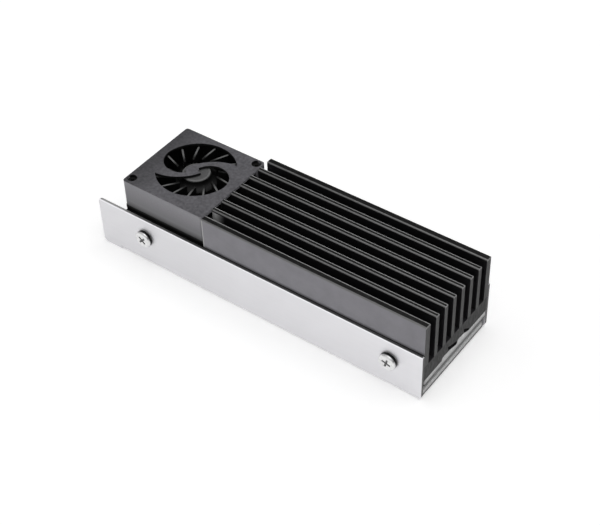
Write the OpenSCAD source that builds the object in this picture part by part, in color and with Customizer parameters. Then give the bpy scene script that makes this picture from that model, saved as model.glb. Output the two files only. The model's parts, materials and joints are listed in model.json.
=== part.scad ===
// Cooler for a flat solid state drive: a black finned heat sink with a small blower
// let into one end, held in a folded sheet tray by two screws on each side.
// Millimetres. X runs along the fins, away from the blower. Y runs across, from the
// wing with the long clear face to the far wing. Z is up, and the tray stands on Z = 0.

/* [Tray] */
// Length of the side wings
tray_len = 77; // [68:0.5:110]
// Width over both side wings
tray_w = 23.2; // [22.8:0.1:28]
// Height of the side wings
wing_h = 11.4; // [9.5:0.1:12]
// Thickness of the folded sheet
sheet_t = 0.5; // [0.3:0.05:0.7]
// Outer radius of the two folds
fold_r = 0.8; // [0.75:0.05:1.2]
// Radius of the wings' upper corners at the blower end
wing_top_r = 0.8; // [0.3:0.1:2]
// Radius of the wings' lower corners
wing_low_r = 1.1; // [0.3:0.1:2]
// How far the wings reach past the floor and the heat sink at the blower end
bay_len = 4.6; // [4.2:0.1:6]
// How far the floor stops short of the wings at the plain end
floor_back = 0.45; // [0.2:0.05:2]
// Radius of the screw holes in the wings
wing_hole_r = 1.1; // [1.05:0.05:1.3]

/* [Pads] */
// Thickness of the pad on the tray's floor
low_pad_t = 1; // [0.5:0.1:1.5]
// Free height of the slot that the drive fills
slot_h = 1.7; // [1.2:0.1:2.5]
// Thickness of the pad under the heat sink
top_pad_t = 1.5; // [0.5:0.1:2]
// Strip left free between each long edge of a pad and its wing
pad_side_gap = 0.4; // [0.2:0.1:2]
// Strip left free between the pads and the end of the floor at the blower end
pad_end_gap = 2; // [0.5:0.5:8]

/* [Heat sink] */
// Thickness of the base
base_t = 3.7; // [3:0.1:4.5]
// Height of the fins above the base
fin_h = 10.25; // [8.5:0.05:14]
// Thickness of the two outer walls
wall_t = 1.45; // [1.2:0.05:1.7]
// Thickness of each fin between them
fin_t = 1.05; // [0.8:0.05:1.2]
// Number of fins between the outer walls
fin_count = 6; // [4:1:6]
// Width of the channels next to the outer walls
side_channel = 1.9; // [1.6:0.05:2.1]
// Rounding along the top edges of fins and walls
fin_edge_r = 0.28; // [0.1:0.02:0.35]
// How far the fins and walls stop short of the base's end under the blower
fin_cutback = 2.3; // [2.2:0.05:4]
// How far the outer walls are cut lower than the blower's seat
wall_drop = 1.3; // [0.8:0.1:2]

/* [Side screws] */
// Radius of the pan heads
pan_r = 1.85; // [1.5:0.05:2.1]
// Height of the pan heads
pan_h = 0.95; // [0.7:0.05:1.3]
// Rounding of the pan heads' rim
pan_edge_r = 0.4; // [0.2:0.05:0.6]
// Radius of the shanks
pan_shank_r = 0.95; // [0.7:0.05:1]
// Length of the shanks under the head
pan_shank_len = 4.5; // [3:0.5:6]
// Distance from each end of the heat sink to its nearer pair of screws
pan_end = 7.15; // [5:0.05:12]
// Width of the arms of the cross recess
cross_w = 0.42; // [0.3:0.02:0.6]
// Length over the arms of the cross recess
cross_len = 1.9; // [1.2:0.1:2.2]
// Turn of the recesses next to the blower, in degrees
cross_turn_a = 45; // [0:1:90]
// Turn of the recesses near the plain end, in degrees
cross_turn_b = 74; // [0:1:90]

/* [Blower case] */
// Height of the case with its cover
fan_h = 6.1; // [5.9:0.1:6.6]
// Distance from the wings' blower end to the case
fan_left = 6.75; // [6:0.05:9]
// How far the square case lies behind the face of the near outer wall
fan_setback = 0.35; // [0.1:0.05:0.6]
// How far the case lies inside the face of the far outer wall
fan_far_gap = 1.85; // [1.5:0.05:2.6]
// Gap between the case and the ends of the fins
fan_gap = 0.1; // [0.05:0.05:0.5]
// Thickness of the cover
cover_t = 0.5; // [0.4:0.05:0.7]
// Thickness of the case's floor
case_floor_t = 0.5; // [0.4:0.05:0.7]
// Thinnest part of the case's side walls
case_wall_t = 0.65; // [0.5:0.05:0.75]
// Thickness of the case beside the outlet, on the side that the air sweeps along
outlet_near_t = 1.2; // [0.8:0.1:1.8]
// Thickness of the case beside the outlet, on the side with the screw
outlet_far_t = 3; // [2.8:0.1:4]
// Radius of the case's upright corners
case_corner_r = 0.6; // [0.3:0.1:0.9]
// Distance of the near screw from the case's face at the open bay
near_screw_x = 1.2; // [1.15:0.05:1.6]
// Distance of the near screw from the case's near face
near_screw_y = 1.6; // [1.2:0.05:1.8]
// Distance of the far screw from the case's face at the fins
far_screw_x = 1.3; // [1.2:0.05:1.6]
// Distance of the far screw from the case's far face
far_screw_y = 1.2; // [1.15:0.05:1.6]
// Radius of the screw recess in the cover
recess_r = 1; // [0.85:0.05:1.05]

/* [Cover opening] */
// How far the round opening stays inside the blade tips
opening_lip = 0.05; // [0.05:0.05:0.6]
// Radius of the disc in the middle of the curved bars
disc_r = 1.35; // [1.2:0.05:2]
// How far the disc's middle lies off the rotor's axis along X
disc_dx = -0.55; // [-0.6:0.05:0.2]
// How far the disc's middle lies off the rotor's axis along Y
disc_dy = -0.6; // [-0.7:0.05:0.2]
// Turn of the curved bars from the X axis, in degrees
bar_turn = -14; // [-40:1:20]
// Widest distance between the two edges of a curved bar
bar_spread = 2.2; // [1.8:0.1:2.6]

/* [Rotor] */
// How far the rotor lies from the middle of the case along X
rotor_dx = -0.1; // [-0.3:0.05:0.3]
// How far the rotor lies from the middle of the case along Y
rotor_dy = 0.75; // [0:0.05:0.8]
// Running gap between the blade tips and the case at its narrowest
tip_gap = 0.45; // [0.3:0.05:0.8]
// Number of blades
blade_count = 15; // [9:1:17]
// Thickness of a blade
blade_t = 0.35; // [0.25:0.05:0.5]
// Turn between a blade's root and its tip, in degrees
blade_lean = 11; // [0:1:20]
// Turn of the first blade's tip from the X axis, in degrees
blade_start = 5.7; // [0:0.1:24]
// Outer radius of the hub's skirt
skirt_r = 4.5; // [4.4:0.05:5]
// Radius of the hub's flat top
hub_top_r = 2.9; // [2.6:0.1:3.5]
// Thickness of the hub's wall
hub_wall_t = 0.35; // [0.3:0.05:0.45]
// Radius of the shaft
shaft_r = 0.4; // [0.3:0.05:0.45]
// Radial running clearance of the shaft
shaft_clear = 0.03; // [0.02:0.01:0.08]
// Radial thickness of the ring magnet
magnet_t = 0.5; // [0.4:0.05:0.6]
// Radial thickness of the steel ring round the magnet
yoke_t = 0.2; // [0.15:0.05:0.25]

/* [Stator] */
// Height of the stator's plate stack
stack_h = 1.3; // [1:0.1:1.5]
// Running gap between the magnet and the stator
air_gap = 0.2; // [0.15:0.05:0.3]
// Number of stator poles
pole_count = 4; // [4:1:6]
// Outer radius of the case's bearing tube
tube_r = 1.2; // [1.15:0.05:1.4]
// Wall of the bearing tube
tube_wall_t = 0.3; // [0.2:0.05:0.35]
// Thickness of the circuit board
board_t = 0.3; // [0.2:0.05:0.35]

/* [Hidden] */
$fn = 64;
eps = 0.01;
// Clearance between pieces that are pushed together and do not turn
fit = 0.02;

// Long direction: the wings run from x0 to x1, the floor and the heat sink lie between
x0 = -tray_len / 2;
x1 = tray_len / 2;
floor_x0 = x0 + bay_len;
floor_x1 = x1 - floor_back;
sink_len = tray_len - bay_len;
pad_x0 = floor_x0 + pad_end_gap;

// Cross direction: the heat sink fills the width between the wings
inner_w = tray_w - 2 * sheet_t;
sink_y0 = -inner_w / 2;
sink_y1 = inner_w / 2;
pad_w = inner_w - 2 * pad_side_gap;
fin_gap = (inner_w - 2 * wall_t - 2 * side_channel - fin_count * fin_t) / (fin_count - 1);
fin_y0 = sink_y0 + wall_t + side_channel;

// Heights of the stack, from the table up
low_pad_z = sheet_t;
slot_z = low_pad_z + low_pad_t;
top_pad_z = slot_z + slot_h;
base_z = top_pad_z + top_pad_t;
base_top_z = base_z + base_t;
top_z = base_top_z + fin_h;
seat_z = top_z - fan_h;
wall_cut_z = seat_z - wall_drop;

// Side screws, one pair near each end of the heat sink
pan_z = base_z + base_t / 2;
pan_xs = [floor_x0 + pan_end, x1 - pan_end];
pan_turns = [cross_turn_a, cross_turn_b];
tap_clear = 0.04;
tap_extra = 0.4;

// Blower case and its two screws, in opposite corners
fan_size = inner_w - fan_setback - fan_far_gap;
fan_x0 = x0 + fan_left;
fan_x1 = fan_x0 + fan_size;
fan_y0 = sink_y0 + fan_setback;
fan_y1 = fan_y0 + fan_size;
fan_cx = (fan_x0 + fan_x1) / 2;
fan_cy = (fan_y0 + fan_y1) / 2;
fins_x0 = fan_x1 + fan_gap;
cover_z = top_z - cover_t;
case_floor_z = seat_z + case_floor_t;
corner_screws = [
    [fan_x0 + near_screw_x, fan_y0 + near_screw_y],
    [fan_x1 - far_screw_x, fan_y1 - far_screw_y]
];
small_head_r = recess_r - 0.08;
small_head_h = 0.6;
small_head_sink = 0.55;
small_shank_r = 0.45;
small_shank_clear = 0.08;
small_shank_len = 6.6;
standoff_r = 0.8;
standoff_clear = 0.03;
standoff_root = 1;
standoff_floor = 0.6;
standoff_h = seat_z - base_top_z + standoff_root;

// Rotor axis and the levels inside the case
rotor_x = fan_cx + rotor_dx;
rotor_y = fan_cy + rotor_dy;
cavity_r = fan_size / 2 - case_wall_t - rotor_dy;
tip_r = cavity_r - tip_gap;
opening_r = tip_r - opening_lip;
volute_r = cavity_r + 0.35;
rotor_z = case_floor_z + 0.4;
plate_t = 0.35;
blade_top_z = cover_z - 0.38;
hub_top_z = cover_z - 0.2;
hub_edge_r = 0.4;
shaft_boss_r = 0.9;
shaft_boss_z = hub_top_z - 1.3;
shaft_top_z = hub_top_z - hub_wall_t;

// Radii of the motor, from the hub's skirt inwards
yoke_r = skirt_r - hub_wall_t;
magnet_r = yoke_r - yoke_t;
magnet_in_r = magnet_r - magnet_t;
pole_r = magnet_in_r - air_gap;
stack_ring_r = tube_r + 0.45;
arm_w = 0.6;
shoe_t = 0.35;
shoe_angle = 360 / pole_count - 26;
insulator_t = 0.12;
coil_t = 0.32;
winding_gap = insulator_t + 2 * fit;
arm_x0 = stack_ring_r - 0.05;
arm_x1 = pole_r - shoe_t;
coil_x0 = stack_ring_r + 0.06;
coil_x1 = arm_x1 - 0.06;

// Levels of the motor, from the circuit board up to the hub's inner space
winding_z = case_floor_z + board_t + 0.08;
stack_z = winding_z + coil_t + winding_gap;
winding_top_z = stack_z + stack_h + winding_gap + coil_t;
magnet_h = stack_h + 0.4;
magnet_z = stack_z + (stack_h - magnet_h) / 2;
pocket_top_z = winding_top_z + 0.15;
skirt_top_z = pocket_top_z + hub_wall_t;

// Bearing: the plate at the bottom, the clip above it, then the sleeve
tube_in_r = tube_r - tube_wall_t;
tube_top_z = shaft_boss_z - 0.3;
thrust_t = 0.2;
shaft_z = case_floor_z + thrust_t + 0.04;
clip_z = shaft_z + 0.1;
clip_t = 0.14;
clip_r = tube_in_r - 0.12;
sleeve_z = clip_z + clip_t + 0.12;

// Circuit board: a ring inside the hub's skirt, with one chip between two poles
board_r = magnet_in_r + 0.1;
board_in_r = tube_r + fit;
chip_size = 0.9;
chip_h = 0.28;
chip_reach = 2.55;
chip_turn = 180 / pole_count;

// Lead notch in the case, low on the side that faces the open bay
notch_w = 2.4;
notch_h = 1.1;
notch_inset = 5.5;
notch_y = fan_y1 - notch_inset;

// Outline of a folded tray seen along the X axis
module tray_section() {
    inner_r = fold_r - sheet_t;
    difference() {
        union() {
            translate([-tray_w / 2 + fold_r, 0]) square([tray_w - 2 * fold_r, fold_r]);
            translate([-tray_w / 2, fold_r]) square([tray_w, wing_h - fold_r]);
            for (side = [-1, 1])
                translate([side * (tray_w / 2 - fold_r), fold_r]) circle(r = fold_r);
        }
        translate([-inner_w / 2, sheet_t + inner_r]) square([inner_w, wing_h]);
        translate([-inner_w / 2 + inner_r, sheet_t]) square([inner_w - 2 * inner_r, wing_h]);
        for (side = [-1, 1])
            translate([side * (inner_w / 2 - inner_r), sheet_t + inner_r]) circle(r = inner_r);
    }
}

// Side view of one wing, in the X and Z directions, with its corners rounded
module wing_outline() {
    end_r = 0.3;
    union() {
        translate([x0 + wing_top_r, wing_low_r])
            square([tray_len - wing_top_r - end_r, wing_h - wing_low_r]);
        translate([x0 + wing_low_r, 0]) square([tray_len - 2 * wing_low_r, wing_low_r + eps]);
        translate([x0, wing_low_r]) square([wing_top_r + eps, wing_h - wing_low_r - wing_top_r]);
        translate([x1 - end_r - eps, wing_low_r])
            square([end_r + eps, wing_h - wing_low_r - end_r]);
        translate([x0 + wing_top_r, wing_h - wing_top_r]) circle(r = wing_top_r);
        translate([x1 - end_r, wing_h - end_r]) circle(r = end_r);
        for (x = [x0 + wing_low_r, x1 - wing_low_r])
            translate([x, wing_low_r]) circle(r = wing_low_r);
    }
}

// Extrudes an outline drawn in Y and Z along the X axis
module along_x(from, to) {
    translate([from, 0, 0]) rotate([90, 0, 90]) linear_extrude(to - from) children();
}

// Extrudes an outline drawn in X and Z along the Y axis
module along_y(from, to) {
    translate([0, to, 0]) rotate([90, 0, 0]) linear_extrude(to - from) children();
}

// Places a copy of its children at each side screw, turned with it, Z out of the wing
module at_side_screws(out) {
    for (i = [0 : len(pan_xs) - 1])
        for (side = [-1, 1])
            translate([pan_xs[i], side * out, pan_z]) rotate([-side * 90, 0, 0])
                rotate(pan_turns[i]) children();
}

// Cross recess, cut down from Z = 0
module cross_recess(len, width, depth) {
    translate([0, 0, -depth]) linear_extrude(depth + eps) union() {
        square([len, width], center = true);
        square([width, len], center = true);
    }
}

module tray() {
    color("gainsboro") difference() {
        union() {
            along_x(floor_x0, floor_x1) tray_section();
            for (side = [-1, 1])
                translate([0, side * (tray_w - sheet_t) / 2, 0]) difference() {
                    along_y(-sheet_t / 2, sheet_t / 2) wing_outline();
                    translate([floor_x0, -sheet_t, -eps])
                        cube([floor_x1 - floor_x0, 2 * sheet_t, fold_r + eps]);
                }
        }
        at_side_screws(tray_w / 2 - sheet_t - eps)
            cylinder(r = wing_hole_r, h = sheet_t + 2 * eps);
    }
}

// Pan head screw standing on Z = 0, its shank pointing down
module pan_screw() {
    r = pan_edge_r;
    difference() {
        union() {
            rotate_extrude() union() {
                square([pan_r, pan_h - r]);
                intersection() {
                    translate([0, pan_h - r]) square([pan_r, r]);
                    translate([pan_r - r, pan_h - r]) circle(r = r);
                }
                translate([0, pan_h - r]) square([pan_r - r, r]);
            }
            translate([0, 0, -pan_shank_len]) cylinder(r = pan_shank_r, h = pan_shank_len + eps);
        }
        translate([0, 0, pan_h]) cross_recess(cross_len, cross_w, pan_h * 0.7);
    }
}

module tray_screws() {
    color("silver") at_side_screws(tray_w / 2) pan_screw();
}

module lower_thermal_pad() {
    color("lightgray") translate([pad_x0, -pad_w / 2, low_pad_z])
        cube([floor_x1 - pad_x0, pad_w, low_pad_t]);
}

module upper_thermal_pad() {
    color("lightgray") translate([pad_x0, -pad_w / 2, top_pad_z])
        cube([x1 - pad_x0, pad_w, top_pad_t]);
}

// One fin or wall in section, from inside the base to its rounded top
module fin_section(y, thickness) {
    r = fin_edge_r;
    low = base_top_z - eps;
    translate([y, low]) square([thickness, top_z - r - low]);
    translate([y + r, low]) square([thickness - 2 * r, top_z - low]);
    for (c = [y + r, y + thickness - r])
        translate([c, top_z - r]) circle(r = r);
}

// The comb that is extruded along the heat sink
module sink_section() {
    union() {
        translate([sink_y0, base_z]) square([inner_w, base_t]);
        fin_section(sink_y0, wall_t);
        fin_section(sink_y1 - wall_t, wall_t);
        for (i = [0 : fin_count - 1])
            fin_section(fin_y0 + i * (fin_t + fin_gap), fin_t);
    }
}

module heat_sink() {
    over = 1;
    pocket_len = fins_x0 - floor_x0 + over;
    color("#1c1c1f") difference() {
        along_x(floor_x0, x1) sink_section();
        // The blower's pocket, milled through the fins down to its seat
        translate([floor_x0 - over, sink_y0 - over, seat_z])
            cube([pocket_len, inner_w + 2 * over, fan_h + over]);
        // The outer walls go lower there, so that the case stands clear of the wings
        for (y = [sink_y0 - over, sink_y1 - wall_t - side_channel / 2])
            translate([floor_x0 - over, y, wall_cut_z])
                cube([pocket_len, over + wall_t + side_channel / 2, fan_h]);
        // Fins and walls are cleared away above the base's end, beside the open bay
        translate([floor_x0 - over, sink_y0 - over, base_top_z])
            cube([over + fin_cutback, inner_w + 2 * over, fin_h + over]);
        // Tapped holes for the side screws
        at_side_screws(inner_w / 2 + eps)
            translate([0, 0, -(pan_shank_len - sheet_t + tap_extra)])
                cylinder(r = pan_shank_r + tap_clear, h = pan_shank_len - sheet_t + tap_extra + eps);
        // Blind holes for the two standoffs, which also relieve the fin beside them
        for (p = corner_screws)
            translate([p[0], p[1], base_top_z - standoff_root])
                cylinder(r = standoff_r + standoff_clear, h = fan_h + fin_h);
    }
}

module fan_standoffs() {
    color("gray") for (p = corner_screws)
        translate([p[0], p[1], seat_z - standoff_h]) difference() {
            cylinder(r = standoff_r, h = standoff_h);
            translate([0, 0, standoff_floor])
                cylinder(r = small_shank_r + small_shank_clear / 2, h = standoff_h);
        }
}

// Square outline of the blower with rounded corners
module case_outline() {
    r = case_corner_r;
    translate([fan_x0 + r, fan_y0]) square([fan_size - 2 * r, fan_size]);
    translate([fan_x0, fan_y0 + r]) square([fan_size, fan_size - 2 * r]);
    for (x = [fan_x0 + r, fan_x1 - r])
        for (y = [fan_y0 + r, fan_y1 - r])
            translate([x, y]) circle(r = r);
}

// Air space inside the case: a round chamber that widens into the outlet at the fins
module air_space() {
    near_y = fan_y0 + outlet_near_t;
    far_y = fan_y1 - outlet_far_t;
    intersection() {
        translate([fan_x0 + case_wall_t, fan_y0 + case_wall_t])
            square([fan_size, fan_size - 2 * case_wall_t]);
        union() {
            translate([rotor_x, rotor_y]) circle(r = cavity_r, $fn = 96);
            translate([rotor_x, near_y + volute_r]) circle(r = volute_r, $fn = 96);
            translate([rotor_x, near_y]) square([fan_size, far_y - near_y]);
        }
    }
}

module fan_housing() {
    wall_h = cover_z - seat_z;
    head_z = top_z - small_head_sink - small_head_h;
    color("#26262a") difference() {
        union() {
            difference() {
                translate([0, 0, seat_z]) linear_extrude(wall_h) case_outline();
                translate([0, 0, case_floor_z]) linear_extrude(wall_h) air_space();
            }
            translate([rotor_x, rotor_y, case_floor_z - eps])
                cylinder(r = tube_r, h = tube_top_z - case_floor_z + eps);
        }
        translate([rotor_x, rotor_y, case_floor_z])
            cylinder(r = tube_in_r, h = wall_h);
        for (p = corner_screws) {
            translate([p[0], p[1], seat_z - eps])
                cylinder(r = small_shank_r + small_shank_clear, h = wall_h + 2 * eps);
            translate([p[0], p[1], head_z]) cylinder(r = recess_r, h = wall_h);
        }
        translate([fan_x0 - 1, notch_y - notch_w / 2, case_floor_z])
            cube([cavity_r / 2 + 1, notch_w, notch_h]);
    }
}

// One of the two openings between the curved bars, drawn round the rotor's axis.
// It is half of the round opening, less the bar on its far side, plus the round head
// that reaches to the middle.
module curved_opening() {
    head_r = opening_r / 2;
    bar_edge_r = head_r + bar_spread * 2.3;
    bar_edge_x = bar_edge_r - bar_spread * 0.78;
    rotate(bar_turn) {
        difference() {
            intersection() {
                circle(r = opening_r, $fn = 96);
                translate([-opening_r, 0]) square([2 * opening_r, opening_r]);
            }
            translate([bar_edge_x, -bar_spread * 0.9]) circle(r = bar_edge_r, $fn = 96);
        }
        intersection() {
            translate([-head_r, 0]) circle(r = head_r, $fn = 96);
            translate([-opening_r, -opening_r]) square([opening_r, opening_r + eps]);
        }
    }
}

module fan_cover() {
    color("#3a3a3e") translate([0, 0, cover_z]) linear_extrude(cover_t) difference() {
        case_outline();
        for (p = corner_screws) translate(p) circle(r = recess_r);
        difference() {
            translate([rotor_x, rotor_y]) union() {
                curved_opening();
                rotate(180) curved_opening();
            }
            translate([rotor_x + disc_dx, rotor_y + disc_dy]) circle(r = disc_r);
        }
    }
}

module fan_screws() {
    color("#111114") for (p = corner_screws)
        translate([p[0], p[1], top_z - small_head_sink - small_head_h]) difference() {
            union() {
                cylinder(r = small_head_r, h = small_head_h);
                translate([0, 0, -small_shank_len]) cylinder(r = small_shank_r, h = small_shank_len + eps);
            }
            translate([0, 0, small_head_h]) cross_recess(1, 0.25, 0.35);
        }
}

// Section of the hub: a skirt that sweeps in to a flat top with a rounded edge
module hub_section() {
    sweep_h = hub_top_z - hub_edge_r - skirt_top_z;
    sweep_w = skirt_r - hub_top_r;
    flat_r = hub_top_r - hub_edge_r;
    steps = 10;
    difference() {
        union() {
            polygon(concat(
                [[0, rotor_z], [skirt_r, rotor_z], [skirt_r, skirt_top_z]],
                [for (i = [1 : steps])
                    let (a = 90 * i / steps)
                    [skirt_r - sweep_w * sin(a), skirt_top_z + sweep_h * (1 - cos(a))]],
                [[0, hub_top_z - hub_edge_r]]
            ));
            translate([0, skirt_top_z]) square([flat_r, hub_top_z - skirt_top_z]);
            translate([flat_r, hub_top_z - hub_edge_r]) circle(r = hub_edge_r);
        }
        translate([0, rotor_z - eps]) square([yoke_r, pocket_top_z - rotor_z + eps]);
        translate([0, pocket_top_z - eps])
            square([flat_r - hub_wall_t, shaft_top_z - pocket_top_z + eps]);
    }
}

// Blade outline: a straight bar from the hub's skirt to the tip circle
module blade_outline() {
    root = [skirt_r * cos(blade_lean), skirt_r * sin(blade_lean)];
    tip = [tip_r, 0];
    run = tip - root;
    reach = norm(run);
    inset = hub_wall_t * 0.6;
    translate(root) rotate(atan2(run[1], run[0]))
        translate([-inset, -blade_t / 2]) square([reach + inset, blade_t]);
}

module impeller() {
    color("#2b2b2f") translate([rotor_x, rotor_y, 0]) difference() {
        union() {
            rotate_extrude($fn = 96) hub_section();
            translate([0, 0, rotor_z]) difference() {
                cylinder(r = tip_r, h = plate_t, $fn = 96);
                translate([0, 0, -eps]) cylinder(r = skirt_r - hub_wall_t / 2, h = 1);
            }
            for (i = [0 : blade_count - 1])
                rotate(blade_start + i * 360 / blade_count) translate([0, 0, rotor_z + eps])
                    linear_extrude(blade_top_z - rotor_z - eps) blade_outline();
            translate([0, 0, shaft_boss_z])
                cylinder(r = shaft_boss_r, h = shaft_top_z - shaft_boss_z + eps);
        }
        translate([0, 0, shaft_boss_z - eps])
            cylinder(r = shaft_r, h = shaft_top_z - shaft_boss_z + eps);
    }
}

// Ring round the rotor's axis
module ring(outer_r, inner_r, z, h) {
    translate([rotor_x, rotor_y, z]) difference() {
        cylinder(r = outer_r, h = h);
        translate([0, 0, -eps]) cylinder(r = inner_r, h = h + 2 * eps);
    }
}

module rotor_yoke() {
    color("slategray") ring(yoke_r - fit / 2, magnet_r, rotor_z, pocket_top_z - rotor_z);
}

module rotor_magnet() {
    color("#4a4038") ring(magnet_r - fit / 2, magnet_in_r, magnet_z, magnet_h);
}

module rotor_shaft() {
    color("silver") translate([rotor_x, rotor_y, shaft_z])
        cylinder(r = shaft_r, h = shaft_top_z - shaft_z);
}

module shaft_clip() {
    color("dimgray") ring(clip_r, shaft_r, clip_z, clip_t);
}

module thrust_plate() {
    color("ivory") translate([rotor_x, rotor_y, case_floor_z])
        cylinder(r = tube_in_r - fit, h = thrust_t);
}

module bearing_sleeve() {
    color("#b08d57")
        ring(tube_in_r - fit / 2, shaft_r + shaft_clear, sleeve_z, tube_top_z - sleeve_z);
}

// One stator pole in plan: an arm and the curved shoe at its end
module pole_outline() {
    translate([arm_x0, -arm_w / 2]) square([pole_r - shoe_t / 2 - arm_x0, arm_w]);
    intersection() {
        difference() {
            circle(r = pole_r, $fn = 96);
            circle(r = pole_r - shoe_t, $fn = 96);
        }
        polygon([
            [0, 0],
            [2 * pole_r, -2 * pole_r * tan(shoe_angle / 2)],
            [2 * pole_r, 2 * pole_r * tan(shoe_angle / 2)]
        ]);
    }
}

// Copies its children once for each pole
module at_poles() {
    for (i = [0 : pole_count - 1])
        translate([rotor_x, rotor_y, 0]) rotate(i * 360 / pole_count) children();
}

module stator_core() {
    color("darkgray") union() {
        ring(stack_ring_r, tube_r + fit, stack_z, stack_h);
        at_poles() translate([0, 0, stack_z]) linear_extrude(stack_h) pole_outline();
    }
}

// Square sleeve round one arm, with walls of the given thickness
module arm_sleeve(from, to, inner_margin, wall) {
    hole_w = arm_w + 2 * inner_margin;
    hole_h = stack_h + 2 * inner_margin;
    translate([from, 0, stack_z + stack_h / 2]) difference() {
        translate([0, -hole_w / 2 - wall, -hole_h / 2 - wall])
            cube([to - from, hole_w + 2 * wall, hole_h + 2 * wall]);
        translate([-eps, -hole_w / 2, -hole_h / 2]) cube([to - from + 2 * eps, hole_w, hole_h]);
    }
}

module stator_insulators() {
    color("ivory") at_poles() arm_sleeve(coil_x0, coil_x1, fit, insulator_t);
}

module stator_coils() {
    inset = 0.08;
    color("#b5651d") at_poles()
        arm_sleeve(coil_x0 + inset, coil_x1 - inset, winding_gap, coil_t);
}

module fan_circuit_board() {
    color("darkgreen") ring(board_r, board_in_r, case_floor_z, board_t);
}

module driver_chip() {
    color("#151515") translate([rotor_x, rotor_y, case_floor_z + board_t]) rotate(chip_turn)
        translate([chip_reach - chip_size / 2, -chip_size / 2, 0])
            cube([chip_size, chip_size, chip_h]);
}

tray();
tray_screws();
lower_thermal_pad();
upper_thermal_pad();
heat_sink();
fan_standoffs();
fan_housing();
fan_cover();
fan_screws();
impeller();
rotor_yoke();
rotor_magnet();
rotor_shaft();
shaft_clip();
thrust_plate();
bearing_sleeve();
stator_core();
stator_insulators();
stator_coils();
fan_circuit_board();
driver_chip();
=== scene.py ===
import json
import math

import bmesh
import bpy
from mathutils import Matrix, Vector


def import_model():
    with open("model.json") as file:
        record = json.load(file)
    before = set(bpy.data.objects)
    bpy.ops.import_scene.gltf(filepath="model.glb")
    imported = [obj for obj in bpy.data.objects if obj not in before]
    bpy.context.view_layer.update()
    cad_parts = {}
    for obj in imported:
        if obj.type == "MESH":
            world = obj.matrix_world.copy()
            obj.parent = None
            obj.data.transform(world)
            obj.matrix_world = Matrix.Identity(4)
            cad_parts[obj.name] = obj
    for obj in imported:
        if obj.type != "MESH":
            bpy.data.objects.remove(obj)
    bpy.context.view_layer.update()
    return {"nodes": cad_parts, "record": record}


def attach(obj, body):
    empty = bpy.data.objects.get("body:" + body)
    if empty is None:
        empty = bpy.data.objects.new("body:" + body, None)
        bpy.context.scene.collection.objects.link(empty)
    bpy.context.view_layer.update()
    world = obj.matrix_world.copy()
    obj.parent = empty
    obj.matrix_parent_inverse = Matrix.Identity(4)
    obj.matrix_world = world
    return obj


MM = 0.001

# The camera that took the photograph, in millimetres, and its roll in degrees
CAMERA_AT = Vector((121.41, -154.55, 190.53))
CAMERA_AIM = Vector((4.54, -1.93, 9.0))
CAMERA_ROLL = -2.04
CAMERA_LENS = 82.46
CAMERA_SENSOR = 36

# The studio: a dim room with a white wall at the front left and a bright ceiling panel.
# A panel's edge and full values are cosines of the angle from its middle.
ROOM_LEVEL = 0.09
WALL_LEVEL = 0.55
WALL_TOWARD = Vector((-0.45, -0.75, 0.45))
WALL_EDGE = 0.1
WALL_FULL = 0.8
PANEL_LEVEL = 1.8
PANEL_TOWARD = Vector((0.22, 0.12, 1.0))
PANEL_EDGE = 0.76
PANEL_FULL = 0.9
FLOOR_SIZE = 6
FLOOR_LEVEL = 0.9
FLOOR_GLOW = 0.295

# Places on the cooler, in millimetres
END_X = 38.5
TOP_Z = 18.65
FAN_MIDDLE = (-21.75, -0.75)
FAN_HALF = 10.0
FAN_BOTTOM_Z = 12.55
COVER_LOW_Z = 18.15
ROTOR_MIDDLE = (-21.85, 0.0)
HUB_R = 2.9
HUB_TOP_Z = 17.95
BLADE_TOP_Z = 17.77
FINS_X0 = -11.65
FIN_PITCH = 2.89
FIN_HALF = 0.525
FIRST_FIN_Y = -7.225
WALL_IN_Y = 9.65
WALL_CUT_Z = 11.25
SINK_HALF_W = 11.1
BASE_TOP_Z = 8.4
WING_TOP_Z = 11.4
WING_OUT_Y = 11.6
SCREW_X_MIDDLE = 2.3
SCREW_X_HALF = 29.05
SCREW_Z = 6.55
RECESS_R = 1.0

# Where the finish changes, in millimetres. A mask for a face starts a skin's depth under it.
SKIN = 0.02

# The sheet: its tone along X, the painted highlight along its upper edge, the painted shade on that edge,
# and its right end with painted shade on the floor strip
SHEET_TONE_X = 38.0
EDGE_HIGHLIGHT_FROM, EDGE_HIGHLIGHT_FULL = 0.55, 0.25
CUT_SHADE_X = (-34, -14)
FLOOR_STRIP = 0.91
FLOOR_HALF_W = 11.025

# The heat sink: the fins' painted edge highlights, the painted contact shadow along the wings' top, and the
# painted light from the blower's slot on one fin
FIN_EDGE_H = 0.28
FIN_EDGE_W = 0.3
EDGE_OVER = 0.1
FIN_RIM = 0.375
MILLED_EDGE = 0.2
SEAM_H = 0.225
SLOT_LIGHT_X = (3, 0.8)
SLOT_LIGHT_Y = FIRST_FIN_Y - FIN_HALF
SLOT_LIGHT_DEPTH = 0.03
SLOT_TOP_Z = 18.2
SINK_METALLIC = 0.93

# The blower: its case from foot to top, with painted shade at the foot and painted light towards the top,
# the painted shade on its cover, and the painted highlights on its rotor
FAN_WALL = 0.25
CASE_FOOT_Z = 13.9
CASE_LIGHT_Z = 14.4
CASE_TONE_X = (-30, -13)
COVER_SHADE_X = (-25, -31)
HUB_FACE = 0.2
HUB_RIM = 0.4
BLADE_LIGHT_R = (4.9, 6.3)

# The screws' heads from the wing outwards, with painted shade on their sides, and the pads at the right end,
# with painted shadow on the upper pad's squeezed edge
HEAD_UNDERSIDE = 0.55
PAD_END_X = 37.7
SQUEEZED_Z = (3.0, 3.62)
LOWER_PAD_Z = (0.5, 1.6)

# How violet the greys are
METAL_TINT = 0.01
BLACK_TINT = 0.03
COVER_TINT = 0.035

# Noise lies mostly between these values
NOISE_LOW, NOISE_HIGH = 0.3, 0.7
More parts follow.
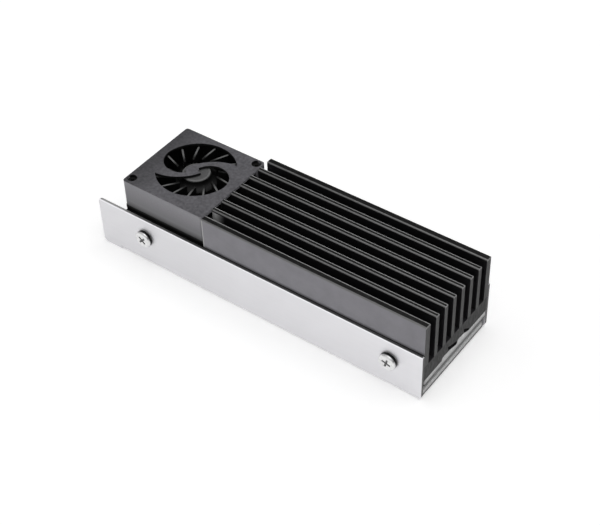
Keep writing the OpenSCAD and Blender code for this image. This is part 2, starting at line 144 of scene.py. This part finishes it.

# The creased film on the right end: its upper edge, and the outlines of the two dark plates
# that are painted shadow in its folds, as places in Y and Z. It swells out more the higher its edge lies
# above FILM_FLAT_Z, and
# FILM_CREASE says how fast its creases turn, in radians, across the end and up the film.
FILM_EDGE = [
    (-10.6, 4.74), (-4.95, 4.74), (-4.75, 5.35), (-4.2, 5.45), (-3.0, 5.5), (-2.4, 5.4),
    (-1.2, 5.1), (0.0, 4.75), (0.35, 4.85), (0.6, 5.5), (1.2, 5.7), (2.1, 5.65),
    (2.9, 5.45), (3.8, 5.05), (4.7, 4.74), (10.6, 4.74),
]
FILM_FOLD_SHADOWS = [
    [
        (-2.9, 6.6), (-2.4, 6.4), (-1.0, 5.95), (0.25, 5.6),
        (0.4, 5.0), (-0.1, 4.7), (-1.2, 5.0), (-2.5, 5.45),
    ],
    [(2.75, 6.5), (3.3, 6.25), (4.0, 5.75), (4.7, 5.25), (4.5, 4.9), (3.7, 5.0), (2.95, 5.5)],
]
FILM_LOW_Z = 4.3
FILM_FLAT_Z = 4.8
FILM_RISE = 0.8
FILM_T = 0.04
FILM_GAP = 0.01
FILM_SWELL = 0.16
FILM_CREASE = (2.6, 3.0)
FILM_STEPS = (160, 8)
FOLD_SHADOW_X = (END_X + 0.005, END_X + 0.03)

# The foam strip under the blower's near edge. Its sides swell, and the swell wavers along X.
SEAL_X = (FAN_MIDDLE[0] - FAN_HALF + 0.05, FINS_X0 - 0.15)
SEAL_Y = (FAN_MIDDLE[1] - FAN_HALF + 0.14, -WALL_IN_Y - 0.05)
SEAL_Z = (WALL_CUT_Z + 0.01, FAN_BOTTOM_Z - 0.01)
SEAL_SWELL = 0.06
SEAL_WAVE = 1.7
SEAL_INSET = 0.05
SEAL_STEPS = (80, 6)


def linear(level):
    """The linear value of a grey level from 0 to 255 on the screen."""
    c = level / 255
    return c / 12.92 if c <= 0.04045 else ((c + 0.055) / 1.055) ** 2.4


def grey(level, tint=0.0):
    """An almost neutral colour of that grey level; tint above 0 turns it slightly violet."""
    v = linear(level)
    return (v, v * (1 - 0.6 * tint), v * (1 + 2 * tint), 1)


class Surface:
    """A node material that works in millimetres on the object's own coordinates."""

    def __init__(self, name):
        self.material = bpy.data.materials.new(name)
        self.material.use_nodes = True
        self.tree = self.material.node_tree
        self.shader = self.tree.nodes["Principled BSDF"]
        self.coords = self.tree.nodes.new("ShaderNodeTexCoord")
        self.places = None

    def node(self, kind, **values):
        made = self.tree.nodes.new(kind)
        for name, value in values.items():
            setattr(made, name, value)
        return made

    def link(self, out, into):
        self.tree.links.new(out, into)

    def base(self, color, roughness, metallic=0.0, specular=0.5):
        """Plain values on the shader, each of which holds where nothing is linked to it."""
        self.shader.inputs["Base Color"].default_value = color
        self.shader.inputs["Roughness"].default_value = roughness
        self.shader.inputs["Metallic"].default_value = metallic
        self.shader.inputs["Specular IOR Level"].default_value = specular
        return self

    def noise(self, size_mm, stretch=(1, 1, 1), detail=3.0):
        """Noise whose features are about size_mm wide, stretched along the axes."""
        mapping = self.node("ShaderNodeMapping")
        mapping.inputs["Scale"].default_value = [1 / s for s in stretch]
        texture = self.node("ShaderNodeTexNoise")
        texture.inputs["Scale"].default_value = 1 / (size_mm * MM)
        texture.inputs["Detail"].default_value = detail
        self.link(self.coords.outputs["Object"], mapping.inputs["Vector"])
        self.link(mapping.outputs["Vector"], texture.inputs["Vector"])
        return texture.outputs["Fac"]

    def compute(self, operation, a, b=None, c=None):
        """A sum, product or the like of sockets or numbers."""
        node = self.node("ShaderNodeMath", operation=operation)
        for value, into in zip((a, b, c), node.inputs):
            if isinstance(value, (int, float)):
                into.default_value = value
            elif value is not None:
                self.link(value, into)
        return node.outputs[0]

    def place(self, axis):
        """The coordinate along X, Y or Z on the object, in millimetres."""
        if self.places is None:
            scale = self.node("ShaderNodeVectorMath", operation="SCALE")
            scale.inputs["Scale"].default_value = 1 / MM
            self.places = self.node("ShaderNodeSeparateXYZ")
            self.link(self.coords.outputs["Object"], scale.inputs[0])
            self.link(scale.outputs["Vector"], self.places.inputs[0])
        return self.places.outputs[axis]

    def offset(self, axis, middle):
        """The coordinate along an axis, counted from a middle."""
        return self.compute("SUBTRACT", self.place(axis), middle)

    def across(self):
        """How far a point lies from the cooler's middle line, to either side."""
        return self.compute("ABSOLUTE", self.place("Y"))

    def apart(self, a, b):
        """The length of the line whose two parts are a and b."""
        squares = [self.compute("MULTIPLY", part, part) for part in (a, b)]
        return self.compute("SQRT", self.compute("ADD", *squares))

    def rise(self, value, start, end, low=0.0, high=1.0):
        """Goes from low at start to high at end, and stays level beyond them."""
        node = self.node("ShaderNodeMapRange")
        for name, number in zip(("From Min", "From Max", "To Min", "To Max"), (start, end, low, high)):
            node.inputs[name].default_value = number
        self.link(value, node.inputs["Value"])
        return node.outputs["Result"]

    def above(self, value, edge, soft=0.01):
        """A mask that holds above an edge, which is soft that far to each side."""
        return self.rise(value, edge - soft, edge + soft)

    def below(self, value, edge, soft=0.01):
        """A mask that holds below an edge, which is soft that far to each side."""
        return self.rise(value, edge + soft, edge - soft)

    def band(self, value, low, high, soft=0.02):
        """A mask that holds between low and high."""
        return self.both(self.above(value, low, soft), self.below(value, high, soft))

    def both(self, *masks):
        """One mask that holds where all of them do."""
        whole = masks[0]
        for mask in masks[1:]:
            whole = self.compute("MULTIPLY", whole, mask)
        return whole

    def either(self, *masks):
        """One mask that holds where any of them does."""
        whole = masks[0]
        for mask in masks[1:]:
            whole = self.compute("MAXIMUM", whole, mask)
        return whole

    def fan_walls(self):
        """A mask for the outer walls of the square blower."""
        out = [self.compute("ABSOLUTE", self.offset(axis, middle)) for axis, middle in zip("XY", FAN_MIDDLE)]
        return self.above(self.either(*out), FAN_HALF - FAN_WALL, 0.05)

    def spread(self, value, low, high):
        """Maps noise round its middle to the range from low to high."""
        return self.rise(value, NOISE_LOW, NOISE_HIGH, low, high)

    def blend(self, factor, below, above):
        """A colour between two colours or sockets."""
        mix = self.node("ShaderNodeMix", data_type="RGBA")
        for value, name in ((factor, "Factor"), (below, "A"), (above, "B")):
            if isinstance(value, (int, float, tuple)):
                mix.inputs[name].default_value = value
            else:
                self.link(value, mix.inputs[name])
        return mix.outputs["Result"]

    def mottled(self, color, spots, size_mm, stretch=(1, 1, 1), detail=3.0, share=1.0):
        """A colour with spots of another, about size_mm wide, which reach it by that share."""
        return self.blend(self.spread(self.noise(size_mm, stretch, detail), 0, share), color, spots)

    def colored(self, color):
        self.link(color, self.shader.inputs["Base Color"])
        return self

    def rough(self, value, low, high):
        """A roughness that follows noise."""
        self.link(self.spread(value, low, high), self.shader.inputs["Roughness"])
        return self

    def bump(self, value, height_mm, strength=1.0):
        node = self.node("ShaderNodeBump")
        node.inputs["Distance"].default_value = height_mm * MM
        node.inputs["Strength"].default_value = strength
        self.link(value, node.inputs["Height"])
        self.link(node.outputs["Normal"], self.shader.inputs["Normal"])
        return self


def sheet_aluminium():
    """Satin sheet with a fine grain along its length, a painted highlight along its upper edge, painted
    shade on its cut top edge, a darker cut end, and painted shade on the floor strip at its right end.
    """
    s = Surface("sheet_aluminium").base(grey(218), 0.45, metallic=1.0)
    along, height = s.place("X"), s.place("Z")
    tone = s.rise(along, -SHEET_TONE_X, SHEET_TONE_X)
    color = s.blend(tone, grey(222, METAL_TINT), grey(231, METAL_TINT))
    color = s.mottled(color, grey(218, METAL_TINT), 9, share=0.35)
    # Painted highlight: a lighter band just under the wing's top edge
    painted_edge_highlight = s.rise(height, WING_TOP_Z - EDGE_HIGHLIGHT_FROM, WING_TOP_Z - EDGE_HIGHLIGHT_FULL)
    color = s.blend(painted_edge_highlight, color, grey(243, METAL_TINT))
    # Painted shade on the wing's cut top edge, graded along X
    cut_top = s.above(height, WING_TOP_Z - SKIN)
    color = s.blend(cut_top, color, s.blend(s.rise(along, *CUT_SHADE_X), grey(215), grey(140)))
    # At the right end: the cut face is darker, and the strip of the floor that shows before the pad carries
    # painted shade
    strip = s.both(s.above(along, END_X - FLOOR_STRIP, 0.04), s.below(s.across(), FLOOR_HALF_W, 0.025))
    cut_end = s.above(along, END_X - SKIN)
    s.colored(s.blend(s.either(strip, cut_end), color, grey(84)))
    grain = s.noise(0.35, stretch=(14, 14, 1), detail=4)
    return s.rough(grain, 0.42, 0.5).bump(grain, 0.004, 0.4).material


def fin_edges(s):
    """Masks for the front and the back edge of the fins' and walls' tops."""
    place = s.place("Y")
    in_fins = s.below(s.across(), WALL_IN_Y - FIN_EDGE_W - 0.025, 0.025)
    from_fin = s.compute("WRAP", s.offset("Y", FIRST_FIN_Y), FIN_PITCH / 2, -FIN_PITCH / 2)
    wide, narrow = FIN_HALF + EDGE_OVER, FIN_HALF - FIN_EDGE_W
    front = s.both(in_fins, s.band(from_fin, -wide, -narrow))
    back = s.both(in_fins, s.band(from_fin, narrow, wide))
    far_wall = s.band(place, WALL_IN_Y - EDGE_OVER, WALL_IN_Y + FIN_EDGE_W)
    near_wall = s.band(place, -WALL_IN_Y - FIN_EDGE_W, -WALL_IN_Y + EDGE_OVER)
    outer = s.below(place, -SINK_HALF_W + FIN_EDGE_W - 0.05, 0.05)
    return s.either(outer, front, far_wall), s.either(back, near_wall)


def fin_tops(s, front, back):
    """The tops are painted deep black as shade, between two thin painted highlights on their edges, the back
    one brighter.
    """
    # Noise that makes the painted edge highlights uneven
    uneven_highlight = s.spread(s.noise(0.5, stretch=(3, 1, 1), detail=4), -0.15, 0.15)
    color = s.blend(s.compute("ADD", front, uneven_highlight), grey(58), grey(125))
    return s.blend(back, color, s.blend(s.compute("ADD", 0.5, uneven_highlight), grey(150), grey(168)))


def sawn_end(s):
    """The sawn end is dull and streaked, with a painted highlight on the fins' top rim, the base darker than
    the fins.
    """
    height = s.place("Z")
    streaks = s.spread(s.noise(0.3, stretch=(1, 1, 4), detail=6), 0, 1)
    fins = s.blend(streaks, grey(94), grey(106))
    # Painted highlight along the fins' top rim at the sawn end
    fins = s.blend(s.above(height, TOP_Z - FIN_RIM, 0.075), fins, grey(150))
    return s.blend(s.below(height, BASE_TOP_Z + 0.05, 0.05), fins, s.blend(streaks, grey(66), grey(96)))


def black_anodised():
    """Extruded aluminium, bead blasted and dyed black, with milled and sawn places, and painted shade and
    light: darker faces inside, dark tops with edge highlights, a shadow along the wings, a dark pocket and a
    pale patch on one fin.
    """
    s = Surface("black_anodised").base(grey(60), 0.33, metallic=SINK_METALLIC, specular=0.1)
    along, height, across = s.place("X"), s.place("Z"), s.across()
    inside = s.below(across, SINK_HALF_W - SKIN)
    outside = s.above(across, SINK_HALF_W - SKIN)
    color = s.mottled(grey(120, BLACK_TINT), grey(126, BLACK_TINT), 2.5)
    # Painted shade: the faces inside the sink, between the fins, are darker
    color = s.blend(inside, color, grey(90, BLACK_TINT))
    front, back = fin_edges(s)
    # Painted shade darkens the tops, with painted highlights on their edges
    in_top = s.above(height, TOP_Z - FIN_EDGE_H + 0.02, 0.02)
    color = s.blend(in_top, color, fin_tops(s, front, back))
    # A milled edge beside the blower, and painted contact shadow along the wings' top
    milled = s.both(outside, s.below(along, FINS_X0 + MILLED_EDGE, 0.05))
    color = s.blend(milled, color, grey(160))
    seam = s.both(outside, s.below(height, WING_TOP_Z + SEAM_H, 0.075))
    color = s.blend(seam, color, grey(8))
    # Painted shade: the pocket under the blower is coloured near black
    pocket = s.both(inside, s.below(along, FINS_X0, 0.05), s.above(height, BASE_TOP_Z - 0.025, 0.025))
    color = s.blend(pocket, color, grey(12))
    # Light from the outlet's slot on the first fin, beside the blower
    slot_light = s.both(
        s.band(s.place("Y"), SLOT_LIGHT_Y - SLOT_LIGHT_DEPTH, SLOT_LIGHT_Y + SLOT_LIGHT_DEPTH),
        s.rise(s.offset("X", FINS_X0), *SLOT_LIGHT_X),
        s.above(along, FINS_X0 - 0.045, 0.015),
        s.below(height, SLOT_TOP_Z, 0.1),
    )
    color = s.blend(slot_light, color, grey(235))
    at_end = s.above(along, END_X - SKIN)
    s.colored(s.blend(at_end, color, sawn_end(s)))
    dull = s.either(s.both(back, in_top), slot_light, at_end, seam, pocket)
    s.link(s.rise(dull, 0, 1, SINK_METALLIC, 0.0), s.shader.inputs["Metallic"])
    satin = s.spread(s.noise(0.5), 0.3, 0.36)
    s.link(s.either(satin, s.rise(dull, 0, 1, 0.0, 0.8)), s.shader.inputs["Roughness"])
    return s.bump(s.noise(0.08, detail=2), 0.003, 0.5).material


def cover_black():
    """Powder coated cover plate with a fine grain, painted shade towards its left end and painted light on
    its outer sides; its cut edges inside are black.
    """
    s = Surface("fan_cover_black").base(grey(70), 0.5)
    blotches = s.compute("ADD", s.spread(s.noise(0.6, detail=5), 0, 0.7), s.spread(s.noise(2.2), 0, 0.3))
    top = s.blend(blotches, grey(70, COVER_TINT), grey(108, COVER_TINT))
    # Painted shade for the cover's left end
    shaded = s.blend(blotches, grey(52, COVER_TINT), grey(78, COVER_TINT))
    top = s.blend(s.rise(s.place("X"), *COVER_SHADE_X, 0, 0.9), top, shaded)
    # The outer sides carry painted light, the cut edges inside are black
    edge = s.blend(s.fan_walls(), grey(14), grey(138, BLACK_TINT))
    s.colored(s.blend(s.below(s.place("Z"), TOP_Z - SKIN), top, edge))
    return s.bump(s.noise(0.12, detail=4), 0.01, 0.6).material


def fan_case():
    """Moulded case: satin outside, with painted shade towards its foot and painted light towards its top
    edge, and black inside.
    """
    s = Surface("fan_plastic").base(grey(90), 0.4)
    # Painted shade darkening the case towards its foot
    foot = s.rise(s.place("Z"), FAN_BOTTOM_Z, CASE_FOOT_Z)
    # Painted light towards the case's top, a little stronger to the right
    light = s.rise(s.place("Z"), CASE_LIGHT_Z, COVER_LOW_Z)
    top = s.blend(s.rise(s.place("X"), *CASE_TONE_X), grey(140, BLACK_TINT), grey(147, BLACK_TINT))
    walls = s.blend(light, s.blend(foot, grey(30, BLACK_TINT), grey(112, BLACK_TINT)), top)
    walls = s.mottled(walls, grey(100, BLACK_TINT), 0.4, share=0.2)
    s.colored(s.blend(s.fan_walls(), grey(14), walls))
    return s.bump(s.noise(0.15, detail=2), 0.005, 0.4).material


def impeller_plastic():
    """Black blades whose narrow top edges carry a painted highlight, stronger outwards, and a paler hub top
    with a painted highlight on its rim.
    """
    s = Surface("impeller_plastic").base(grey(30), 0.5, specular=0.15)
    height = s.place("Z")
    out = s.apart(*(s.offset(axis, middle) for axis, middle in zip("XY", ROTOR_MIDDLE)))
    cap = s.mottled(grey(84), grey(96), 0.4)
    # Painted highlight on the hub's rounded rim
    cap = s.blend(s.above(out, HUB_R - HUB_RIM, 0.1), cap, grey(112))
    color = s.mottled(grey(14), grey(20), 1.5)
    color = s.blend(s.above(height, HUB_TOP_Z - HUB_FACE, 0.1), color, cap)
    # Painted highlight on the blades' top edges, stronger outwards
    blade_tops = s.band(height, BLADE_TOP_Z - SKIN, BLADE_TOP_Z + SKIN, soft=0.01)
    lit = s.blend(s.rise(out, *BLADE_LIGHT_R), grey(30), grey(108))
    s.colored(s.blend(blade_tops, color, lit))
    return s.bump(s.noise(0.15, detail=2), 0.005, 0.4).material


def black_steel():
    """Blackened screws and posts."""
    s = Surface("black_screw").base(grey(16), 0.4, specular=0.3)
    s.colored(s.mottled(grey(10), grey(20), 0.4))
    return s.bump(s.noise(0.1, detail=2), 0.003, 0.4).material


def plated_screw():
    """Bright plated steel, with painted shade under the head and on its side, and dull round the cross."""
    s = Surface("screw_steel").base(grey(225), 0.3, metallic=1.0)
    # Painted shade on the head's side and under it
    side = s.below(s.across(), WING_OUT_Y + HEAD_UNDERSIDE, 0.05)
    from_middle = s.compute("ABSOLUTE", s.offset("X", SCREW_X_MIDDLE))
    out = s.apart(s.compute("SUBTRACT", from_middle, SCREW_X_HALF), s.offset("Z", SCREW_Z))
    recess = s.both(side, s.below(out, RECESS_R + 0.075, 0.025))
    bright = s.mottled(grey(214), grey(236), 0.5, detail=5)
    s.colored(s.blend(recess, s.blend(side, bright, grey(40)), grey(190)))
    s.link(s.rise(recess, 0, 1, 1.0, 0.0), s.shader.inputs["Metallic"])
    return s.rough(s.noise(0.3), 0.26, 0.38).bump(s.noise(0.25, detail=4), 0.01, 0.5).material


def thermal_pad():
    """Soft filled silicone, mottled; the upper pad's squeezed lower edge carries painted shadow."""
    s = Surface("thermal_pad").base(grey(176), 0.65)
    at_end = s.above(s.place("X"), PAD_END_X, 0.2)
    # Painted shadow on the upper pad's squeezed lower edge
    squeezed = s.both(at_end, s.band(s.place("Z"), *SQUEEZED_Z, soft=0.12))
    lower = s.both(at_end, s.band(s.place("Z"), *LOWER_PAD_Z))
    color = s.blend(squeezed, s.mottled(grey(172), grey(196), 0.6), grey(84))
    s.colored(s.blend(lower, color, s.mottled(grey(200), grey(218), 0.6)))
    return s.bump(s.noise(0.25, detail=4), 0.03, 0.5).material


def pale_film():
    """Thin creased protective film."""
    s = Surface("pale_film").base(grey(190), 0.45, specular=0.3)
    s.colored(s.mottled(grey(190), grey(224), 0.5, stretch=(1, 1, 3), detail=4))
    return s.bump(s.noise(0.4, stretch=(1, 1, 3)), 0.03, 0.6).material


def film_shadow():
    """Painted shadow: the dark inside of the film's folds."""
    s = Surface("film_shadow").base(grey(8), 0.9, specular=0.03)
    return s.colored(s.mottled(grey(4), grey(14), 0.4)).material


def seal_foam():
    """Black open foam, with painted shade that darkens it towards the wing."""
    s = Surface("seal_foam").base(grey(30), 0.95, specular=0.0)
    middle = (WALL_CUT_Z + FAN_BOTTOM_Z) / 2
    # Painted shade: darker towards the wing
    low = s.rise(s.place("Z"), WALL_CUT_Z, middle)
    high = s.rise(s.place("Z"), middle, FAN_BOTTOM_Z)
    color = s.blend(high, s.blend(low, grey(10), grey(26)), grey(62))
    s.colored(s.mottled(color, grey(8), 0.25, detail=4, share=0.4))
    return s.bump(s.noise(0.12, detail=3), 0.04, 0.8).material


def plain_part(name, color, roughness, metallic):
    """A hidden piece: its own colour with a little variation."""
    s = Surface(name).base(color, roughness, metallic)
    darker = tuple(c * 0.85 for c in color[:3]) + (1,)
    return s.colored(s.mottled(darker, color, 0.5)).material


SEEN = {
    "sheet_aluminium": sheet_aluminium,
    "screw_steel": plated_screw,
    "thermal_pad": thermal_pad,
    "black_anodised": black_anodised,
    "fan_plastic": fan_case,
    "fan_cover_black": cover_black,
    "black_screw": black_steel,
    "impeller_plastic": impeller_plastic,
}

# The hidden pieces' colour, roughness and metallic value
HIDDEN = {
    "yoke_steel": (grey(170), 0.35, 1.0),
    "magnet": (grey(80), 0.5, 0.3),
    "shaft_steel": (grey(220), 0.2, 1.0),
    "clip_plastic": (grey(225), 0.5, 0.0),
    "bearing_bronze": ((0.45, 0.3, 0.14, 1), 0.4, 1.0),
    "core_steel": (grey(150), 0.4, 1.0),
    "copper_wire": ((0.55, 0.2, 0.07, 1), 0.3, 1.0),
    "circuit_board": ((0.02, 0.1, 0.05, 1), 0.4, 0.0),
    "chip_plastic": (grey(40), 0.5, 0.0),
}


def dress_nodes(frame):
    """Gives each CAD node the material of its slot."""
    made = {slot: build() for slot, build in SEEN.items()}
    made.update({slot: plain_part(slot, *values) for slot, values in HIDDEN.items()})
    for part in frame["record"]["subparts"]:
        mesh = frame["nodes"][part["node"]].data
        mesh.materials.clear()
        mesh.materials.append(made[part["material_slot"]])


def add_strip(mesh, sections):
    """A closed strip along sections, each of which goes up one side and down the other."""
    rings = [[mesh.verts.new(place * MM) for place in section] for section in sections]
    count = len(rings[0])
    for ring, following in zip(rings, rings[1:]):
        for k in range(count):
            n = (k + 1) % count
            mesh.faces.new((ring[k], ring[n], following[n], following[k]))
    for ring in (rings[0], rings[-1]):
        for k in range(count // 2 - 1):
            mesh.faces.new((ring[k], ring[k + 1], ring[-k - 2], ring[-k - 1]))


def strip_section(rows, place):
    """The section whose places are place(side, t), with t from 0 below to 1 above."""
    heights = [j / rows for j in range(rows + 1)]
    return [place(0, t) for t in heights] + [place(1, t) for t in reversed(heights)]


def add_fold_shadow(mesh, outline):
    """A thin dark plate on the right end, in the second material, standing as painted shadow in a fold of
    the film.
    """
    low, high = ([mesh.verts.new(Vector((x, y, z)) * MM) for y, z in outline] for x in FOLD_SHADOW_X)
    made = [mesh.faces.new(high), mesh.faces.new(low[::-1])]
    for k in range(len(outline)):
        n = (k + 1) % len(outline)
        made.append(mesh.faces.new((low[k], low[n], high[n], high[k])))
    for face in made:
        face.material_index = 1


def add_piece(name, mesh, *materials):
    """Makes the mesh a piece that rides on the cooler."""
    bmesh.ops.recalc_face_normals(mesh, faces=mesh.faces)
    data = bpy.data.meshes.new(name)
    mesh.to_mesh(data)
    mesh.free()
    for material in materials:
        data.materials.append(material)
    piece = bpy.data.objects.new(name, data)
    bpy.context.scene.collection.objects.link(piece)
    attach(piece, "cooler")


def film_height(y):
    """The height of the film's upper edge at a place across the right end."""
    for (y0, z0), (y1, z1) in zip(FILM_EDGE, FILM_EDGE[1:]):
        if y <= y1:
            return z0 + (z1 - z0) * (y - y0) / (y1 - y0)
    return FILM_EDGE[-1][1]


def make_film():
    """The creased edge of film that laps over the base's sawn end, and two dark plates painted as the
    shadows in its folds.
    """
    columns, rows = FILM_STEPS
    first, last = FILM_EDGE[0][0], FILM_EDGE[-1][0]

    def section(i):
        y = first + (last - first) * i / columns
        top = film_height(y)
        raised = min(1.0, (top - FILM_FLAT_Z) / FILM_RISE)

        def place(side, t):
            crease = 0.5 + 0.5 * math.sin(FILM_CREASE[0] * y + FILM_CREASE[1] * t)
            out = FILM_GAP + FILM_SWELL * raised * t * (1 - 0.6 * t) * crease
            return Vector((END_X + out + side * FILM_T, y, FILM_LOW_Z + (top - FILM_LOW_Z) * t))

        return strip_section(rows, place)

    mesh = bmesh.new()
    add_strip(mesh, [section(i) for i in range(columns + 1)])
    for outline in FILM_FOLD_SHADOWS:
        add_fold_shadow(mesh, outline)
    add_piece("pad_film_edge", mesh, pale_film(), film_shadow())


def make_seal():
    """The foam strip between the near outer wall, cut low there, and the blower's case."""
    columns, rows = SEAL_STEPS

    def section(i):
        x = SEAL_X[0] + (SEAL_X[1] - SEAL_X[0]) * i / columns
        inset = SEAL_INSET if i in (0, columns) else 0.0

        def place(side, t):
            swell = SEAL_SWELL * math.sin(math.pi * t) * (1 + 0.25 * math.sin(SEAL_WAVE * x))
            y = SEAL_Y[side] + (-1, 1)[side] * (swell - inset)
            return Vector((x, y, SEAL_Z[0] + (SEAL_Z[1] - SEAL_Z[0]) * t))

        return strip_section(rows, place)

    mesh = bmesh.new()
    add_strip(mesh, [section(i) for i in range(columns + 1)])
    add_piece("blower_seal", mesh, seal_foam())


def make_camera():
    """The camera at the photograph's place, turned by its roll."""
    data = bpy.data.cameras.new("camera")
    data.lens = CAMERA_LENS
    data.sensor_width = CAMERA_SENSOR
    data.clip_start = 0.01
    camera = bpy.data.objects.new("camera", data)
    bpy.context.scene.collection.objects.link(camera)
    turn = (CAMERA_AIM - CAMERA_AT).to_track_quat("-Z", "Y").to_matrix().to_4x4()
    turn.translation = CAMERA_AT * MM
    camera.matrix_world = turn
    camera.rotation_euler.rotate_axis("Z", math.radians(CAMERA_ROLL))
    bpy.context.scene.camera = camera


def make_floor():
    """A pale table, far larger than the view, that looks white where it is seen."""
    bpy.ops.mesh.primitive_plane_add(size=FLOOR_SIZE)
    floor = bpy.context.object
    floor.name = "floor"
    s = Surface("floor_white").base((FLOOR_LEVEL, FLOOR_LEVEL, FLOOR_LEVEL, 1), 0.9, specular=0.0)
    path = s.node("ShaderNodeLightPath").outputs
    seen = s.either(path["Is Camera Ray"], path["Is Glossy Ray"], path["Is Transmission Ray"])
    s.shader.inputs["Emission Color"].default_value = (1, 1, 1, 1)
    s.link(s.compute("MULTIPLY", seen, FLOOR_GLOW), s.shader.inputs["Emission Strength"])
    floor.data.materials.append(s.material)


def panel(tree, coords, toward, edge, full, low, high):
    """The level of one soft edged panel of the studio, by direction."""
    facing = tree.nodes.new("ShaderNodeVectorMath")
    facing.operation = "DOT_PRODUCT"
    facing.inputs[1].default_value = toward.normalized()
    level = tree.nodes.new("ShaderNodeMapRange")
    level.interpolation_type = "SMOOTHSTEP"
    for name, number in zip(("From Min", "From Max", "To Min", "To Max"), (edge, full, low, high)):
        level.inputs[name].default_value = number
    tree.links.new(coords.outputs["Generated"], facing.inputs[0])
    tree.links.new(facing.outputs["Value"], level.inputs["Value"])
    return level.outputs["Result"]


def make_world():
    """A dim studio with a white wall and a ceiling panel."""
    world = bpy.data.worlds.new("studio")
    bpy.context.scene.world = world
    world.use_nodes = True
    tree = world.node_tree
    coords = tree.nodes.new("ShaderNodeTexCoord")
    total = tree.nodes.new("ShaderNodeMath")
    total.operation = "ADD"
    wall = panel(tree, coords, WALL_TOWARD, WALL_EDGE, WALL_FULL, ROOM_LEVEL, WALL_LEVEL)
    ceiling = panel(tree, coords, PANEL_TOWARD, PANEL_EDGE, PANEL_FULL, 0, PANEL_LEVEL)
    tree.links.new(wall, total.inputs[0])
    tree.links.new(ceiling, total.inputs[1])
    background = tree.nodes["Background"]
    background.inputs["Color"].default_value = (1, 1, 1, 1)
    tree.links.new(total.outputs[0], background.inputs["Strength"])


def main():
    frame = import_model()
    dress_nodes(frame)
    make_film()
    make_seal()
    make_camera()
    make_floor()
    make_world()
    bpy.context.scene.view_settings.view_transform = "Standard"


main()
